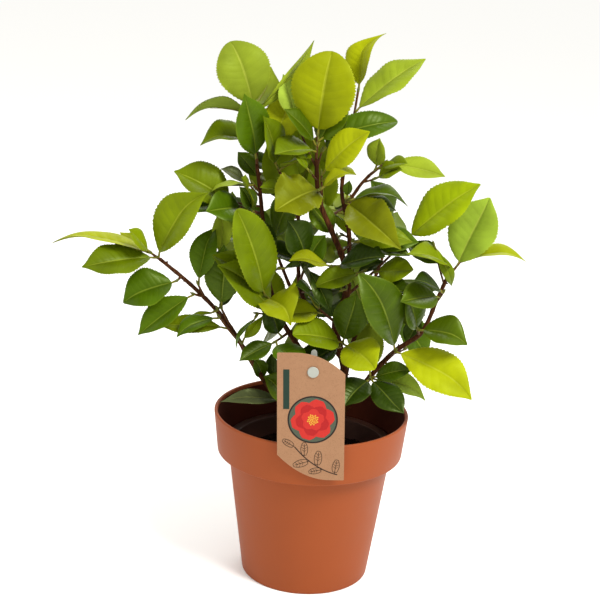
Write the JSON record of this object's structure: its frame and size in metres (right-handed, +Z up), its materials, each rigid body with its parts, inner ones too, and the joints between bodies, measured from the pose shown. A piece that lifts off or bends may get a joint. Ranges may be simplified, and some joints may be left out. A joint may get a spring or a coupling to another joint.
{
  "type": "potted camellia shrub",
  "caption": "Young camellia shrub with broad glossy leaves on slender reddish stems, upright in a tapering collared pot with a plain picture card on a stake in front.",
  "frame": {"origin": "centre of the outer pot's flat underside, where the plant stands", "axes": "+Z up along the pot's axis, -Y towards the viewer and the label card, +X to the viewer's right"},
  "size_m": [0.4015, 0.2321, 0.4743],
  "materials": {
    "terracotta_plastic": "satin terracotta-coloured plastic",
    "nursery_plastic": "dark brown thin plastic",
    "potting_soil": "dark crumbly peat and bark",
    "label_card": "uncoated brown card with a printed flower",
    "label_stake": "pale grey-green plastic",
    "bark": "smooth reddish-brown young bark",
    "leaves": "glossy leathery leaves, yellow-green to dark green"
  },
  "bodies": {
    "root": {"outer_pot": "terracotta_plastic", "nursery_pot": "nursery_plastic", "potting_soil": "potting_soil", "label_card": "label_card", "label_stake": "label_stake", "trunk": "bark", "bough_left": "bark", "bough_right": "bark", "stem_left": "bark", "stem_inner": "bark", "stem_pruned": "bark", "twig_right": "bark", "bough_back_left": "bark", "bough_back_right": "bark", "foliage_top": "leaves", "foliage_top_left": "leaves", "foliage_top_inner": "leaves", "foliage_top_right": "leaves", "foliage_centre_high": "leaves", "foliage_left_tip": "leaves", "foliage_right_low": "leaves", "foliage_right_high": "leaves", "foliage_right_arch": "leaves", "foliage_right_upper": "leaves", "foliage_right_inner": "leaves", "foliage_right_tip": "leaves", "foliage_right_side": "leaves", "foliage_right_outer": "leaves", "foliage_right_base": "leaves", "foliage_low_centre": "leaves", "foliage_front": "leaves", "foliage_low_left": "leaves", "foliage_left_upper": "leaves", "foliage_left_rise": "leaves", "foliage_left_inner": "leaves", "foliage_left_low": "leaves", "foliage_left_foot": "leaves", "foliage_left_outer": "leaves", "foliage_left_under": "leaves", "foliage_centre": "leaves", "foliage_centre_right": "leaves", "foliage_centre_low": "leaves", "foliage_pot_left": "leaves", "foliage_back_left": "leaves", "foliage_back_left_low": "leaves", "foliage_back_right": "leaves", "foliage_back_right_low": "leaves", "foliage_back_high": "leaves", "foliage_back_top": "leaves"}
  },
  "joints": []
}
